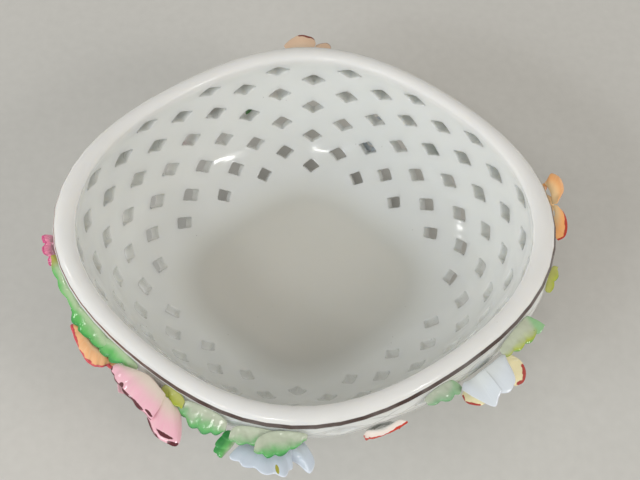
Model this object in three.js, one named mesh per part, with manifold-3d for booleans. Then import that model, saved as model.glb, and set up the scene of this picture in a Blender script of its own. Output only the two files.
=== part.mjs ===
// A small open porcelain box with a pierced lattice wall and applied flowers, in millimetres, +Z up.
// The plan is an oval drawn out into four soft corners. X runs along its longer side, and -Y is the front.
import * as THREE from "three";
import { mergeVertices } from "three/addons/utils/BufferGeometryUtils.js";
import Module from "manifold-3d";

const wasm = await Module();
wasm.setup();

// Driving sizes of the bowl
const rimLength = 142;
const rimWidth = 128.6;
const rimLobe = 2.5; // how far a corner stands out of the plain oval
const insideDepth = 34; // from the lip's outer edge down to the floor
const floorThickness = 3;
const lipWidth = 5.3;
const lipCrown = 1.3; // how far the lip rises above its outer edge
const wallThickness = 4;
const lineStep = 0.75; // the shoulder that carries the painted line, beyond the lip's outer edge
const lineDrop = 1.2; // and below it
const strapRelief = 0.6; // how far the lattice's crossings swell out of the wall
const pieceGap = 0.3; // left between a luted piece and what carries it

// The foot
const footHeight = 3;
const footRadius = 34.4;
const footWidth = 3.6;
const footTaper = 0.7;
const footLobe = 2;

// The lattice: piercings in staggered rows, each row turned by half a pitch
const holesPerRow = 16;
const holeWidth = 7.9; // of a piercing in the top row; the others follow the wall's girth
const holeHeight = 4.5;
const holeCorner = 0.6; // length cut off each edge of a piercing at its corners
const cutTiltTop = 12; // degrees below level at which the top row is pierced
const cutTiltBottom = 40;

// The wall by rows, from the lip's shoulder down to the floor. Rows 1 to 8 carry piercings.
const radiusShares = [0.921, 0.908, 0.886, 0.858, 0.828, 0.793, 0.748, 0.687, 0.613, 0.54, 0.47];
const depthShares = [0.025, 0.103, 0.203, 0.318, 0.447, 0.579, 0.697, 0.794, 0.874, 0.943, 0.985];
const lobeShares = [0.8, 0.74, 0.7, 0.62, 0.52, 0.47, 0.54, 0.7, 0.85, 0.85, 0.8];
const wallShares = [1.35, 1.7, 1.9, 1.7, 1.35, 1.1, 0.92, 0.8, 0.72, 0.7, 0.7];
const firstHoleRow = 1;
const lastHoleRow = 8;
const topRow = firstHoleRow - 1;
const bottomRow = lastHoleRow + 1;
const lastRow = radiusShares.length - 1;
const columns = 2 * holesPerRow;
const ringSteps = 64;

const meanRadius = (rimLength + rimWidth) / 4 - rimLobe;
const ovalShare = (rimLength - rimWidth) / (4 * meanRadius);
const floorHeight = footHeight + floorThickness;
const rimHeight = floorHeight + insideDepth;
const rad = THREE.MathUtils.degToRad;

// A place in the plan. Columns count clockwise from the rear corner; a station holds radius, lobe and height.
function planPoint(column, station) {
  const angle = Math.PI / 2 - (column / columns) * 2 * Math.PI;
  const reach = station.x * (1 + ovalShare * Math.cos(2 * angle)) + station.y * Math.cos(4 * angle);
  return new THREE.Vector3(reach * Math.cos(angle), reach * Math.sin(angle), station.z);
}

const innerRows = radiusShares.map(
  (share, row) =>
    new THREE.Vector3(
      share * meanRadius,
      lobeShares[row] * rimLobe,
      rimHeight - depthShares[row] * insideDepth,
    ),
);

// The outer wall lies along each row's direction of cut, which leans down more towards the bottom.
const outerRows = innerRows.map((inner, row) => {
  const down = THREE.MathUtils.clamp((row - firstHoleRow) / (lastHoleRow - firstHoleRow), 0, 1);
  const tilt = rad(THREE.MathUtils.lerp(cutTiltTop, cutTiltBottom, down ** 1.5));
  const wall = wallShares[row] * wallThickness;
  return new THREE.Vector3(inner.x + wall * Math.cos(tilt), inner.y, inner.z - wall * Math.sin(tilt));
});

const innerCurve = new THREE.CatmullRomCurve3(innerRows, false, "catmullrom");
const outerCurve = new THREE.CatmullRomCurve3(outerRows, false, "catmullrom");

function wallPoint({ column, row }, outside, relief = 0) {
  const station = (outside ? outerCurve : innerCurve).getPoint(row / lastRow);
  station.x += relief;
  return planPoint(column, station);
}

// Collects the triangles of a closed surface, each anticlockwise as seen from outside the solid.
class Skin {
  constructor() {
    this.points = [];
  }

  polygon(corners) {
    for (let i = 1; i + 1 < corners.length; i += 1) {
      this.points.push(corners[0], corners[i], corners[i + 1]);
    }
  }

  fan(corners, middle) {
    corners.forEach((corner, i) => this.polygon([middle, corner, corners[(i + 1) % corners.length]]));
  }

  // Fills between two closed rings of places { at, point }, each in rising order of at.
  band(first, second) {
    let i = 0;
    let j = 0;
    const place = (ring, k) => ring[k % ring.length];
    const turnsOver = (ring, k) => (k === ring.length ? columns : 0);
    const at = (ring, k) => (k > ring.length ? Infinity : place(ring, k).at + turnsOver(ring, k));
    while (i < first.length || j < second.length) {
      const corners = [place(second, j).point, place(first, i).point];
      if (at(first, i + 1) <= at(second, j + 1)) {
        i += 1;
        corners.push(place(first, i).point);
      } else {
        j += 1;
        corners.push(place(second, j).point);
      }
      this.polygon(corners);
    }
  }

  geometry() {
    return new THREE.BufferGeometry().setFromPoints(this.points);
  }
}

const weldDistance = 1e-4;

function toSolid(geometry) {
  const plain = geometry.index ? geometry.toNonIndexed() : geometry.clone();
  plain.deleteAttribute("normal");
  plain.deleteAttribute("uv");
  const merged = mergeVertices(plain, weldDistance);
  const mesh = new wasm.Mesh({
    numProp: 3,
    vertProperties: merged.attributes.position.array,
    triVerts: new Uint32Array(merged.index.array),
  });
  return new wasm.Manifold(mesh);
}

function toGeometry(solid) {
  const { vertProperties, triVerts } = solid.getMesh();
  return new THREE.BufferGeometry()
    .setAttribute("position", new THREE.BufferAttribute(vertProperties, 3))
    .setIndex(new THREE.BufferAttribute(triVerts, 1));
}

function joined(geometries) {
  const [first, ...rest] = geometries.map(toSolid);
  return toGeometry(rest.reduce((sum, solid) => sum.add(solid), first));
}

const part = new THREE.Group();

function addPiece(name, geometry, material, matrix = new THREE.Matrix4()) {
  const mesh = new THREE.Mesh(geometry, material);
  mesh.name = name;
  mesh.applyMatrix4(matrix);
  part.add(mesh);
  return mesh;
}

const glaze = (color) => new THREE.MeshStandardMaterial({ color, roughness: 0.15, metalness: 0 });
const porcelain = glaze("#e9eceb");
const glazes = {
  leaf: glaze("#4f9a58"),
  lime: glaze("#a8b23c"),
  pink: glaze("#e39bb4"),
  rose: glaze("#e0407c"),
  orange: glaze("#eeae72"),
  peach: glaze("#e0b394"),
  yellow: glaze("#eadd8c"),
  lavender: glaze("#dfe3f3"),
  white: glaze("#eef0ee"),
  stamen: glaze("#d9b84a"),
};

// PIERCED BOWL
const topGirth = 2 * Math.PI * innerRows[firstHoleRow].x;
const halfWide = (holeWidth / 2 / topGirth) * columns;
const middleRow = Math.round((firstHoleRow + lastHoleRow) / 2);
const rowSpacing = innerRows[middleRow].distanceTo(innerRows[middleRow - 1]);
const halfHigh = holeHeight / 2 / rowSpacing;
const cornerShare = (2 * holeCorner) / Math.hypot(holeWidth, holeHeight);

// The eight points of a piercing's outline, anticlockwise from its right corner as seen from inside the bowl.
function piercing(column, row) {
  const corners = [
    [halfWide, 0],
    [0, -halfHigh],
    [-halfWide, 0],
    [0, halfHigh],
  ];
  return corners.flatMap(([x, y], i) => {
    const [nextX, nextY] = corners[(i + 1) % corners.length];
    return [cornerShare, 1 - cornerShare].map((share) => ({
      column: column + THREE.MathUtils.lerp(x, nextX, share),
      row: row + THREE.MathUtils.lerp(y, nextY, share),
    }));
  });
}

// A place of the pattern on the lattice's border isn't pierced, and has one point at each side on the border.
function latticePlace(column, row) {
  const outline = piercing(column, row);
  if (row < firstHoleRow || row > lastHoleRow) {
    outline[0] = outline[7] = { column: column + halfWide, row };
    outline[3] = outline[4] = { column: column - halfWide, row };
  }
  return outline;
}

// One face of the lattice wall: struts between neighbouring piercings, and crossings between four of them.
function addLatticeFace(skin, outside) {
  const corners = (places) => {
    const points = places.map((place) => wallPoint(place, outside));
    return outside ? points.reverse() : points;
  };
  const relief = outside ? strapRelief : 0;
  for (let row = topRow; row <= bottomRow; row += 1) {
    for (let column = 0; column < columns; column += 1) {
      const here = latticePlace(column, row);
      const [left, right] = [latticePlace(column - 1, row), latticePlace(column + 1, row)];
      if ((column + row) % 2 === 0) {
        if (row < bottomRow) {
          const belowRight = latticePlace(column + 1, row + 1);
          const belowLeft = latticePlace(column - 1, row + 1);
          skin.polygon(corners([here[6], belowRight[3], belowRight[2], here[7]]));
          skin.polygon(corners([here[4], belowLeft[1], belowLeft[0], here[5]]));
        }
        if (row === topRow) skin.polygon(corners([here[4], here[5], here[6], here[7]]));
        if (row === bottomRow) skin.polygon(corners([here[0], here[1], here[2], here[3]]));
      } else if (row === topRow) {
        const below = latticePlace(column, row + 1);
        skin.polygon(corners([left[7], below[2], below[1], right[4]]));
      } else if (row === bottomRow) {
        const above = latticePlace(column, row - 1);
        skin.polygon(corners([right[3], above[6], above[5], left[0]]));
      } else {
        const [above, below] = [latticePlace(column, row - 1), latticePlace(column, row + 1)];
        const around = [right[4], right[3], above[6], above[5], left[0], left[7], below[2], below[1]];
        skin.fan(corners(around), wallPoint({ column, row }, outside, relief));
      }
    }
  }
}

function addPiercingWalls(skin) {
  for (let row = firstHoleRow; row <= lastHoleRow; row += 1) {
    for (let column = row % 2; column < columns; column += 2) {
      const outline = piercing(column, row);
      outline.forEach((place, i) => {
        const next = outline[(i + 1) % outline.length];
        const inside = [wallPoint(place, false), wallPoint(next, false)];
        skin.polygon([...inside, wallPoint(next, true), wallPoint(place, true)]);
      });
    }
  }
}

// The lattice's top or bottom border as a ring of places, which a plain ring can be joined to.
function borderRing(row, outside) {
  const ring = [];
  for (let column = row % 2; column < columns; column += 2) {
    [column - halfWide, column + halfWide].forEach((at) => {
      ring.push({ at, point: wallPoint({ column: at, row }, outside) });
    });
  }
  return ring;
}

function plainRing(station, steps = ringSteps) {
  return Array.from({ length: steps }, (_, i) => {
    const at = (i / steps) * columns;
    return { at, point: planPoint(at, station) };
  });
}

function lipStations() {
  const middle = meanRadius - lipWidth / 2;
  const steps = 6;
  return Array.from({ length: steps + 1 }, (_, i) => {
    const turn = Math.PI * (1 - i / steps);
    const lobe = THREE.MathUtils.lerp(innerRows[topRow].y, rimLobe, i / steps);
    const height = rimHeight + lipCrown * Math.sin(turn);
    return new THREE.Vector3(middle + (lipWidth / 2) * Math.cos(turn), lobe, height);
  });
}

function piercedBowl() {
  const skin = new Skin();
  addLatticeFace(skin, false);
  addLatticeFace(skin, true);
  addPiercingWalls(skin);

  const lip = lipStations().map((station) => plainRing(station));
  const shoulder = new THREE.Vector3(meanRadius + lineStep, rimLobe, rimHeight - lineDrop);
  const overLip = [borderRing(topRow, false), ...lip, plainRing(shoulder), borderRing(topRow, true)];
  overLip.slice(1).forEach((ring, i) => skin.band(overLip[i], ring));

  const floorCorner = innerRows[lastRow].clone();
  const floorEdge = new THREE.Vector3(floorCorner.x - floorThickness, floorCorner.y, floorHeight);
  const floorRings = [borderRing(bottomRow, false), plainRing(floorCorner), plainRing(floorEdge)];
  floorRings.slice(1).forEach((ring, i) => skin.band(ring, floorRings[i]));
  const floorMiddle = new THREE.Vector3(0, 0, floorHeight);
  skin.fan(floorRings.at(-1).map((place) => place.point).reverse(), floorMiddle);

  const heel = new THREE.Vector3(footRadius, footLobe, footHeight);
  const baseRings = [borderRing(bottomRow, true), plainRing(heel)];
  skin.band(baseRings[0], baseRings[1]);
  skin.fan(baseRings[1].map((place) => place.point), new THREE.Vector3(0, 0, footHeight));
  return skin.geometry();
}

addPiece("pierced_bowl", piercedBowl(), porcelain);

// FOOT RING
// A closed profile of stations, listed anticlockwise with the radius to the right, carried round the plan.
function planHoop(stations) {
  const skin = new Skin();
  const rings = stations.map((station) => plainRing(station));
  rings.forEach((ring, i) => skin.band(rings[(i + 1) % rings.length], ring));
  return skin.geometry();
}

const footInside = footRadius - footWidth;
const footProfile = [
  new THREE.Vector3(footRadius, footLobe, footHeight),
  new THREE.Vector3(footInside, footLobe, footHeight),
  new THREE.Vector3(footInside + footTaper, footLobe, 0),
  new THREE.Vector3(footRadius - footTaper, footLobe, 0),
];
addPiece("foot_ring", planHoop(footProfile), porcelain);

// APPLIED PIECES
const petalLength = 10;
const petalThickness = 1.1;
const petalBulge = 0.8; // how far a petal's back swells out half way up
const hubRadius = 8;
const hubHeightShare = 0.3; // of a hub's own radius
const hubSides = 10;
const rootShare = 0.8; // of the hub's radius, at which the petals start inside it
const hemBend = 65; // degrees by which a round hem falls away to each side
const hemStations = [-1, -0.5, 0, 0.5, 1];
const petalStepsUp = 2;
const centreShare = 0.2; // of the hub's radius
const centreSides = 8;
const leafThickness = 1;
const leafBulge = 0.7; // how far a leaf's midrib stands out beyond its edges
const leafTipShare = 0.3; // width left at a leaf's ends
const leafStand = 10;
const leafSteps = [2, 5];

// A frame on the outer wall, with X to the right as seen from outside, Y up along the wall and Z out of it.
function perch(column, row, standOff) {
  const step = 0.05;
  const at = wallPoint({ column, row }, true);
  const along = wallPoint({ column: column + step, row }, true).sub(at);
  const down = wallPoint({ column, row: row + step }, true).sub(at);
  const out = along.cross(down).normalize();
  const right = down.cross(out).negate().normalize();
  const up = out.clone().cross(right);
  return new THREE.Matrix4().makeBasis(right, up, out).setPosition(at.addScaledVector(out, standOff));
}

// A thin closed sheet. place(across, along, side) gives a point, with across and along from 0 to 1, and
// side 0 on the back or 1 on the face. Across runs to the right and along runs up as the face is seen.
function sheet(place, [acrossSteps, alongSteps]) {
  const skin = new Skin();
  const point = (i, j, side) => place(i / acrossSteps, j / alongSteps, side);
  const strip = (i, j, nextI, nextJ) => {
    skin.polygon([point(i, j, 0), point(nextI, nextJ, 0), point(nextI, nextJ, 1), point(i, j, 1)]);
  };
  for (let i = 0; i < acrossSteps; i += 1) {
    for (let j = 0; j < alongSteps; j += 1) {
      const cell = [[i, j], [i + 1, j], [i + 1, j + 1], [i, j + 1]];
      skin.polygon(cell.map(([a, b]) => point(a, b, 1)));
      skin.polygon(cell.map(([a, b]) => point(a, b, 0)).reverse());
    }
    strip(i, 0, i + 1, 0);
    strip(i + 1, alongSteps, i, alongSteps);
  }
  for (let j = 0; j < alongSteps; j += 1) {
    strip(0, j + 1, 0, j);
    strip(acrossSteps, j, acrossSteps, j + 1);
  }
  return skin.geometry();
}

const curveThrough = (points) => new THREE.CatmullRomCurve3(points, false, "catmullrom");

// A round hem, as stations that hold the turn about the flower's axis, the distance from it and the height.
function roundHem({ angle, spread, lengthShare, flare }, hub) {
  return hemStations.map((station) => {
    const length = lengthShare * petalLength * Math.cos(rad(hemBend * station));
    const radius = hub + length * Math.sin(rad(flare));
    return new THREE.Vector3(rad(angle - station * spread), radius, length * Math.cos(rad(flare)));
  });
}

// The same for a hem given as turn, distance and height, both as shares of a petal's length.
function ownHem(hemShares) {
  return hemShares.map(([turn, radiusShare, heightShare]) => {
    return new THREE.Vector3(rad(turn), radiusShare * petalLength, heightShare * petalLength);
  });
}

// A petal rises from the hub to its hem with its back away from the flower's axis Z.
function petal({ hemShares, ...form }, hub) {
  const stations = hemShares ? ownHem(hemShares) : roundHem(form, hub);
  const hem = curveThrough(stations);
  const [first, last] = [stations.at(0).x, stations.at(-1).x];
  const place = (across, along, side) => {
    const top = hem.getPoint(across);
    const root = new THREE.Vector3(THREE.MathUtils.lerp(first, last, across), rootShare * hub, 0);
    root.z = (hubHeightShare * hub) / 2;
    const lean = Math.atan2(top.y - root.y, top.z - root.z);
    const at = root.lerp(top, along);
    const outwards = petalBulge * Math.sin(Math.PI * along) - side * petalThickness;
    const radius = at.y + outwards * Math.cos(lean);
    const height = at.z - outwards * Math.sin(lean);
    return new THREE.Vector3(radius * Math.cos(at.x), radius * Math.sin(at.x), height);
  };
  return sheet(place, [stations.length - 1, petalStepsUp]);
}

function whorlGeometry({ petals, ...shared }, hub) {
  const height = hubHeightShare * hub;
  const disc = new THREE.CylinderGeometry(hub, hub, height, hubSides);
  disc.rotateX(Math.PI / 2).translate(0, 0, height / 2);
  return joined([disc, ...petals.map((own) => petal({ ...shared, ...own }, hub))]);
}

function addFlower({ name, column, row, whorls, centre = "stamen" }) {
  const base = perch(column, row, strapRelief + pieceGap);
  const raised = (height) => base.clone().multiply(new THREE.Matrix4().makeTranslation(0, 0, height));
  let top = 0;
  let hub = 0;
  whorls.forEach((whorl) => {
    hub = whorl.hubShare * hubRadius;
    addPiece(`${name}_${whorl.part}`, whorlGeometry(whorl, hub), glazes[whorl.glaze], raised(top));
    top += hubHeightShare * hub + pieceGap;
  });
  const radius = centreShare * hub;
  const ball = new THREE.SphereGeometry(radius, centreSides, centreSides / 2).rotateX(Math.PI / 2);
  addPiece(`${name}_centre`, ball, glazes[centre], raised(top + radius));
}

// A leaf lies between a left and a right edge on the outer wall, as seen with its tip up. An edge lists
// columns and rows of the lattice, each with how far the place stands off the wall, in shares of leafStand.
function addLeaf({ name, left, right, color }) {
  const [leftEdge, rightEdge] = [left, right].map((edge) => {
    return curveThrough(edge.map(([column, row, standShare]) => new THREE.Vector3(column, row, standShare)));
  });
  const least = leafThickness + pieceGap + strapRelief;
  const place = (across, along, side) => {
    const swell = THREE.MathUtils.lerp(leafTipShare, 1, Math.sqrt(Math.sin(Math.PI * along)));
    const share = THREE.MathUtils.lerp(0.5, across, swell);
    const at = leftEdge.getPoint(along).lerp(rightEdge.getPoint(along), share);
    const bulge = leafBulge * swell * Math.sin(Math.PI * across);
    const stand = Math.max(least, at.z * leafStand) + bulge;
    return wallPoint({ column: at.x, row: at.y }, true, stand - (1 - side) * leafThickness);
  };
  addPiece(name, sheet(place, leafSteps), glazes[color]);
}

const petalsAt = (...angles) => angles.map((angle) => ({ angle }));
const fiveRound = petalsAt(90, 18, 162, -54, 234);

// Places are columns and rows of the lattice. Angles, spreads, flares and turns are in degrees, and turns run
// anticlockwise from the right as seen from outside. A hem's entries hold a turn, a distance and a height.
const flowers = [
  {
    name: "front_left_rose",
    column: 19.2,
    row: 1.7,
    whorls: [
      {
        part: "petals",
        glaze: "pink",
        hubShare: 0.9,
        lengthShare: 0.6,
        spread: 34,
        flare: 20,
        petals: [
          {
            hemShares: [
              [151, 1.23, 0.19],
              [140, 1.06, 0.37],
              [116, 0.85, 0.52],
              [75, 0.81, 0.64],
              [42, 1.11, 0.71],
            ],
          },
          {
            hemShares: [
              [45, 0.92, 0.74],
              [25, 1.28, 0.95],
              [12, 1.7, 0.84],
              [9, 1.39, 0.3],
              [15, 1.02, 0.05],
            ],
          },
          ...petalsAt(190, -35, 260),
        ],
      },
    ],
  },
  {
    name: "front_white_flower",
    column: 16.3,
    row: 2.9,
    whorls: [
      {
        part: "petals",
        glaze: "lavender",
        hubShare: 0.7,
        lengthShare: 0.6,
        spread: 34,
        flare: 30,
        petals: [
          {
            hemShares: [
              [145, 1.47, 0.42],
              [132, 1.42, 0.52],
              [116, 1.31, 0.6],
              [94, 1.22, 0.73],
              [73, 1.18, 0.76],
              [61, 1.05, 0.57],
              [58, 0.85, 0.31],
            ],
          },
          {
            hemShares: [
              [62, 0.79, 0.36],
              [47, 0.98, 0.47],
              [39, 1.25, 0.63],
              [29, 1.18, 0.34],
              [31, 0.89, 0.08],
            ],
          },
          ...petalsAt(190, -42, 254),
        ],
      },
    ],
  },
  {
    name: "right_front_pansy",
    column: 11.55,
    row: 1.8,
    whorls: [
      {
        part: "upper_petals",
        glaze: "lavender",
        hubShare: 0.73,
        petals: [
          {
            hemShares: [
              [151, 1.04, 0.05],
              [147, 1, 0.49],
              [140, 0.88, 0.91],
              [125, 0.78, 0.77],
              [118, 0.79, 0.61],
            ],
          },
          {
            hemShares: [
              [124, 0.75, 0.71],
              [99, 0.68, 0.86],
              [76, 0.74, 0.78],
              [63, 0.77, 0.47],
              [49, 0.69, 0.1],
            ],
          },
        ],
      },
      {
        part: "lower_petals",
        glaze: "yellow",
        hubShare: 0.48,
        lengthShare: 0.65,
        spread: 34,
        flare: 40,
        petals: [
          {
            hemShares: [
              [24, 0.84, 0.12],
              [17, 1, 0.3],
              [4, 0.95, 0.55],
              [-14, 0.85, 0.6],
              [-34, 0.7, 0.4],
            ],
          },
          {
            hemShares: [
              [224, 0.75, 0.4],
              [204, 0.98, 0.45],
              [186, 1.1, 0.32],
              [177, 1.14, 0.2],
              [168, 0.96, 0.12],
            ],
          },
          { angle: -90 },
        ],
      },
    ],
  },
  {
    name: "right_orange_flower",
    column: 7.1,
    row: 1.8,
    whorls: [
      {
        part: "petals",
        glaze: "orange",
        hubShare: 0.6,
        lengthShare: 0.5,
        spread: 34,
        flare: 35,
        petals: [
          {
            hemShares: [
              [119, 0.53, 0.06],
              [65, 0.55, 0.49],
              [42, 0.87, 0.45],
              [37, 0.97, 0.18],
              [45, 0.71, 0],
            ],
          },
          {
            hemShares: [
              [175, 1.3, -0.1],
              [170, 1.21, 0.14],
              [156, 0.88, 0.28],
              [135, 0.61, 0.21],
              [122, 0.51, 0.02],
            ],
          },
          ...petalsAt(-10, 225, -75),
        ],
      },
    ],
  },
  {
    name: "left_orange_flower",
    column: 20.8,
    row: 2.1,
    whorls: [
      {
        part: "petals",
        glaze: "orange",
        hubShare: 0.6,
        lengthShare: 0.4,
        spread: 34,
        flare: 40,
        petals: [
          {
            hemShares: [
              [141, 1, 0.07],
              [116, 0.83, 0.16],
              [82, 0.78, 0.29],
              [54, 0.96, 0.36],
              [39, 1.04, 0.25],
              [30, 1.05, 0.09],
            ],
          },
          { hemShares: [[31, 0.87, 0.13], [21, 0.94, 0.16], [15, 1.13, 0.07], [8, 1.2, 0.02]] },
          ...petalsAt(180, -45, 250),
        ],
      },
    ],
  },
  {
    name: "left_rosette",
    column: 23.3,
    row: 1.7,
    centre: "rose",
    whorls: [
      {
        part: "petals",
        glaze: "rose",
        hubShare: 0.275,
        lengthShare: 0.32,
        spread: 28,
        flare: 60,
        petals: petalsAt(0, 60, 120, 180, 240, 300),
      },
    ],
  },
  {
    name: "front_small_flower",
    column: 14.1,
    row: 2.3,
    whorls: [
      {
        part: "petals",
        glaze: "white",
        hubShare: 0.34,
        lengthShare: 0.3,
        spread: 34,
        flare: 50,
        petals: [
          {
            hemShares: [
              [147, 0.72, 0],
              [143, 0.51, 0.14],
              [95, 0.33, 0.18],
              [51, 0.51, 0.11],
              [34, 0.8, 0],
            ],
          },
          ...petalsAt(0, 180, -60, 240),
        ],
      },
    ],
  },
  {
    name: "rear_peach_flower",
    column: 31.75,
    row: 2.2,
    whorls: [
      {
        part: "petals",
        glaze: "peach",
        hubShare: 0.575,
        lengthShare: 0.6,
        spread: 34,
        flare: 40,
        petals: [
          {
            hemShares: [
              [114, 0.72, 0.52],
              [101, 0.84, 0.61],
              [76, 0.93, 0.55],
              [53, 1, 0.57],
              [41, 0.93, 0.45],
            ],
          },
          {
            hemShares: [
              [145, 1.02, 0.41],
              [140, 1.02, 0.52],
              [120, 0.84, 0.63],
              [98, 0.71, 0.59],
            ],
          },
          ...petalsAt(0, 190, -80),
        ],
      },
    ],
  },
  {
    name: "rear_white_flower",
    column: 2,
    row: 5.6,
    whorls: [
      {
        part: "petals",
        glaze: "white",
        hubShare: 0.45,
        lengthShare: 0.5,
        spread: 34,
        flare: 50,
        petals: fiveRound,
      },
    ],
  },
  {
    name: "rear_left_pink_flower",
    column: 28.6,
    row: 3.2,
    whorls: [
      {
        part: "petals",
        glaze: "pink",
        hubShare: 0.45,
        lengthShare: 0.5,
        spread: 34,
        flare: 50,
        petals: fiveRound,
      },
    ],
  },
];
flowers.forEach(addFlower);

const leaves = [
  {
    name: "front_left_leaf",
    color: "leaf",
    left: [[18.43, 0.18, 0.15], [18.01, 0.18, 0.17], [17.59, 0.18, 0.19], [17.3, 0.18, 0.19]],
    right: [[18.38, 1.31, 0.28], [17.99, 1.31, 0.51], [17.61, 1.31, 0.51], [17.3, 1.31, 0.35]],
  },
  {
    name: "front_hanging_leaf",
    color: "leaf",
    left: [[16.98, 1.75, 0.15], [17.16, 2.1, 0.62], [17.26, 2.6, 0.97]],
    right: [[17.45, 1.75, 0.15], [17.47, 2.1, 0.77], [17.31, 2.6, 1]],
  },
  {
    name: "front_middle_leaf",
    color: "leaf",
    left: [[17.2, 0.54, 0.35], [16.98, 0.54, 0.33], [16.56, 0.54, 0.2], [16.16, 0.54, 0.15]],
    right: [[17.2, 1.17, 0.48], [16.96, 1.17, 0.49], [16.54, 1.17, 0.37], [16.14, 1.17, 0.17]],
  },
  {
    name: "front_right_leaf",
    color: "leaf",
    left: [[16.67, 0.36, 0.62], [16.39, 0.36, 0.45], [16.01, 0.36, 0.26], [15.65, 0.36, 0.18]],
    right: [[16.67, 0.87, 0.65], [16.39, 0.87, 0.74], [16.05, 0.87, 0.56], [15.71, 0.87, 0.18]],
  },
  {
    name: "front_narrow_leaf",
    color: "lime",
    left: [[18.91, 0.11, 0.13], [18.68, 0.11, 0.07], [18.29, 0.11, 0.19]],
    right: [[18.81, 0.54, 0.18], [18.55, 0.54, 0.24], [18.26, 0.54, 0.34]],
  },
  {
    name: "left_low_leaf",
    color: "leaf",
    left: [[19.78, 0.85, 0.2], [20.02, 0.85, 0.34], [20.3, 0.8, 0.38], [20.53, 0.75, 0.3]],
    right: [[19.76, 0.11, 0], [20.04, 0.11, 0], [20.34, 0.11, 0.01], [20.55, 0.11, 0.12]],
  },
  {
    name: "left_middle_leaf",
    color: "leaf",
    left: [[20.6, 0.62, 0.36], [20.95, 0.62, 0.4], [21.25, 0.7, 0.42], [21.47, 0.8, 0.3]],
    right: [[20.62, 0.11, 0.14], [20.95, 0.11, 0.09], [21.27, 0.11, 0.08], [21.49, 0.11, 0.12]],
  },
  {
    name: "left_top_leaf",
    color: "leaf",
    left: [[21.56, 0.95, 0.32], [21.93, 1, 0.32], [22.38, 1, 0.26], [22.77, 0.9, 0.2]],
    right: [[21.56, 0.11, 0.14], [21.95, 0.11, 0.12], [22.48, 0.11, 0.06], [22.73, 0.11, 0.08]],
  },
  {
    name: "right_front_leaf",
    color: "leaf",
    left: [[13.16, 0.18, 0.17], [12.74, 0.18, 0.12], [12.4, 0.18, 0.16], [12.31, 0.18, 0.32]],
    right: [[13.13, 0.71, 0.24], [12.8, 0.71, 0.35], [12.5, 0.71, 0.37], [12.3, 0.71, 0.3]],
  },
  {
    name: "right_long_leaf",
    color: "lime",
    left: [[11.17, 0.18, 0.22], [10.64, 0.18, 0.21], [10.21, 0.18, 0.27], [10.14, 0.18, 0.49]],
    right: [[11.24, 0.71, 0.34], [10.9, 0.71, 0.43], [10.51, 0.71, 0.5], [10.2, 0.71, 0.53]],
  },
  {
    name: "right_small_leaf",
    color: "lime",
    left: [[9.37, 0.36, 0.17], [9.06, 0.36, 0.08], [8.78, 0.36, 0.02]],
    right: [[9.33, 0.71, 0.21], [9.03, 0.71, 0.22], [8.72, 0.71, 0.06]],
  },
  {
    name: "rear_right_leaf",
    color: "leaf",
    left: [[3.5, 5.2, 0.2], [3.95, 5.4, 0.3], [4.4, 5.2, 0.35]],
    right: [[3.5, 4.2, 0.2], [3.95, 4, 0.3], [4.4, 4.2, 0.35]],
  },
  {
    name: "rear_middle_leaf",
    color: "leaf",
    left: [[1, 4, 0.2], [0.55, 3.6, 0.3], [0.1, 3.6, 0.35]],
    right: [[1, 5, 0.2], [0.55, 5, 0.3], [0.1, 4.4, 0.35]],
  },
  {
    name: "rear_left_leaf",
    color: "leaf",
    left: [[30, 5, 0.2], [30.45, 5, 0.3], [30.9, 4.4, 0.35]],
    right: [[30, 4, 0.2], [30.45, 3.6, 0.3], [30.9, 3.6, 0.35]],
  },
];
leaves.forEach(addLeaf);

export default part;
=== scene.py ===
# %% [markdown]
# # A small porcelain box, pierced like a basket, with flowers luted round it
#
# The measured model gives every piece its place. This notebook dresses it: the lattice is rebuilt with
# soft edges, each petal and leaf gets its thin painted hem, and the glaze gets its depth and gloss.
# All lengths are in metres, so 5.3 * MM is 5.3 millimetres.

# %% Open the measured model
import math
import bmesh
import bpy
from mathutils import Euler, Matrix, Vector


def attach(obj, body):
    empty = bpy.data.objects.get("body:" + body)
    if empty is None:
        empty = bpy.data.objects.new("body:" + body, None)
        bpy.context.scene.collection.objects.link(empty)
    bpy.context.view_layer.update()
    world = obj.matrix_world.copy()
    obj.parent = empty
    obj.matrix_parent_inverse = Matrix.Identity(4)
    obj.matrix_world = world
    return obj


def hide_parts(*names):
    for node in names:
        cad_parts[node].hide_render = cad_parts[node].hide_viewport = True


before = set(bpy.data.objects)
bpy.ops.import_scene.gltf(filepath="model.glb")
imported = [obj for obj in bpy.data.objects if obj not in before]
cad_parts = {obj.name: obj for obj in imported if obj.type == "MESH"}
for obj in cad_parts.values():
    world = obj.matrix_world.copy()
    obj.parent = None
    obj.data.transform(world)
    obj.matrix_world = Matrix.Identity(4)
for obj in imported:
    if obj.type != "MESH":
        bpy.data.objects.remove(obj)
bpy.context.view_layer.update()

# %% [markdown]
# ## Where the camera stands
#
# The photograph looks down into the box from the front at about 57 degrees. A lens of 64 mm flattens the
# perspective a little, as a small camera held at arm's length does. The small roll is the tilt of the
# hand. A camera looks along its own -Z, so `to_track_quat` turns that axis towards the target.

# %% Camera
MM = 0.001
CAMERA_PLACE = Vector((10.25, -180.69, 304.36)) * MM
CAMERA_TARGET = Vector((4.78, -7.94, 40.0)) * MM
CAMERA_ROLL = math.radians(0.849)
CAMERA_LENS = 63.94


def new_object(name, data):
    thing = bpy.data.objects.new(name, data)
    bpy.context.scene.collection.objects.link(thing)
    return thing


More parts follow.
